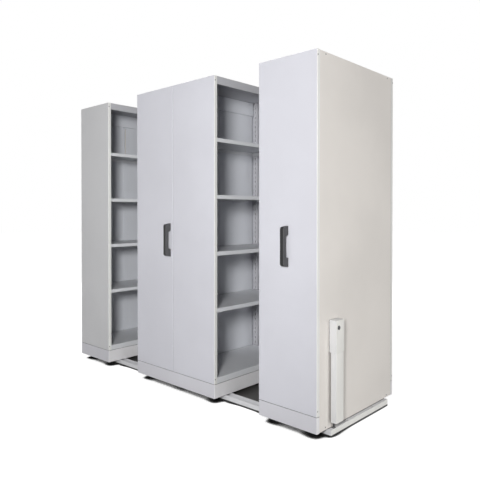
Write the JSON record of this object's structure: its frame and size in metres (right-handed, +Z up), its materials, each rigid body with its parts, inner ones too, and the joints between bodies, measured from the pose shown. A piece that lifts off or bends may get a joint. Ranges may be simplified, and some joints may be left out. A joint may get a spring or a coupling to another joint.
{
  "type": "compact mobile shelving",
  "caption": "Mobile shelving row: a fixed shelf unit, a double and a single carriage rolling on a low track frame, with pull handles and a floor lock.",
  "frame": {"origin": "on the floor, in the middle of the outer box", "axes": "+X along the tracks from the fixed unit to the single carriage, +Y from the handle fronts to the rear, +Z up"},
  "size_m": [2.562, 0.947, 2.2],
  "materials": {
    "panel_paint": "light grey powder coat, fine orange peel",
    "fixed_panel_paint": "light grey powder coat, fine orange peel",
    "frame_paint": "light grey powder coat",
    "shelf_paint": "light grey powder coat",
    "back_paint": "light grey powder coat",
    "side_paint": "light grey powder coat",
    "plinth_paint": "light grey powder coat",
    "base_paint": "light grey powder coat",
    "lock_paint": "light grey powder coat",
    "bar_steel": "ground steel",
    "black_steel": "black oxide",
    "floor_panel": "charcoal laminate",
    "zinc": "zinc plated",
    "screw_steel": "dark zinc",
    "cast_iron": "machined cast iron",
    "black_rubber": "matt",
    "handle_plastic": "dark grey moulded plastic",
    "cylinder_chrome": "satin chrome"
  },
  "bodies": {
    "base": {"front_track": "base_paint", "rear_track": "base_paint", "end_members": "base_paint", "running_bars": "bar_steel", "floor_panel": "floor_panel", "track_stops": "black_steel", "levelling_screws": "zinc", "fixed_plinth": "plinth_paint", "fixed_front_panel": "fixed_panel_paint", "fixed_rear_panel": "fixed_panel_paint", "fixed_posts": "frame_paint", "fixed_back_panels": "back_paint", "fixed_side_cover": "side_paint", "fixed_top_panel": "frame_paint", "fixed_shelves": "shelf_paint", "fixed_base_shelf": "shelf_paint", "fixed_shelf_clips": "zinc", "fixed_screws": "screw_steel", "bolt_keeper": "black_steel"},
    "double_carriage": {"double_chassis": "plinth_paint", "double_front_panel_left": "panel_paint", "double_front_panel_right": "panel_paint", "double_rear_panels": "panel_paint", "double_posts": "frame_paint", "double_partition": "back_paint", "double_top_panel": "frame_paint", "double_shelves_left": "shelf_paint", "double_shelves_right": "shelf_paint", "double_base_shelves": "shelf_paint", "double_shelf_clips": "zinc", "double_screws": "screw_steel", "double_handle": "handle_plastic", "double_bearings": "cast_iron", "double_buffers": "black_rubber"},
    "double_left_wheelset": {"double_axle_left": "bar_steel", "double_wheels_left": "cast_iron"},
    "double_right_wheelset": {"double_axle_right": "bar_steel", "double_wheels_right": "cast_iron"},
    "single_carriage": {"single_chassis": "plinth_paint", "single_front_panel": "panel_paint", "single_rear_panel": "panel_paint", "single_posts": "frame_paint", "single_back_panels": "back_paint", "single_side_cover": "side_paint", "single_top_panel": "frame_paint", "single_shelves": "shelf_paint", "single_base_shelf": "shelf_paint", "single_shelf_clips": "zinc", "single_screws": "screw_steel", "single_handle": "handle_plastic", "single_bearings": "cast_iron", "single_buffers": "black_rubber", "lock_housing": "lock_paint", "lock_lower_cover": "lock_paint"},
    "single_left_wheelset": {"single_axle_left": "bar_steel", "single_wheels_left": "cast_iron"},
    "single_right_wheelset": {"single_axle_right": "bar_steel", "single_wheels_right": "cast_iron"},
    "lock_cylinder": {"lock_cylinder": "cylinder_chrome"},
    "floor_bolt": {"floor_bolt": "black_steel"}
  },
  "joints": [
    {"name": "double_roll", "type": "slide", "parent": "base", "child": "double_carriage", "axis": [1, 0, 0], "range_m": [-0.385, 0]},
    {"name": "double_left_wheels_turn", "type": "hinge", "parent": "double_carriage", "child": "double_left_wheelset", "pos_m": [-0.3595, 0.0235, 0.0673], "axis": [0, 1, 0], "continuous": true},
    {"name": "double_right_wheels_turn", "type": "hinge", "parent": "double_carriage", "child": "double_right_wheelset", "pos_m": [0.3205, 0.0235, 0.0673], "axis": [0, 1, 0], "continuous": true},
    {"name": "single_roll", "type": "slide", "parent": "base", "child": "single_carriage", "axis": [1, 0, 0], "range_m": [-0.375, 0]},
    {"name": "single_left_wheels_turn", "type": "hinge", "parent": "single_carriage", "child": "single_left_wheelset", "pos_m": [0.8905, 0.0235, 0.0673], "axis": [0, 1, 0], "continuous": true},
    {"name": "single_right_wheels_turn", "type": "hinge", "parent": "single_carriage", "child": "single_right_wheelset", "pos_m": [1.1405, 0.0235, 0.0673], "axis": [0, 1, 0], "continuous": true},
    {"name": "bolt_drop", "type": "slide", "parent": "single_carriage", "child": "floor_bolt", "axis": [0, 0, -1], "range_m": [0, 0.022]},
    {"name": "key_turn", "type": "hinge", "parent": "single_carriage", "child": "lock_cylinder", "pos_m": [1.2505, -0.2775, 0.628], "axis": [-1, 0, 0], "range_deg": [0, 90]}
  ],
  "couplings": [
    {"joint": "double_left_wheels_turn", "follows": "double_roll", "rad_per_m": 20},
    {"joint": "double_right_wheels_turn", "follows": "double_roll", "rad_per_m": 20},
    {"joint": "single_left_wheels_turn", "follows": "single_roll", "rad_per_m": 20},
    {"joint": "single_right_wheels_turn", "follows": "single_roll", "rad_per_m": 20},
    {"joint": "key_turn", "follows": "bolt_drop", "rad_per_m": 71.4}
  ]
}
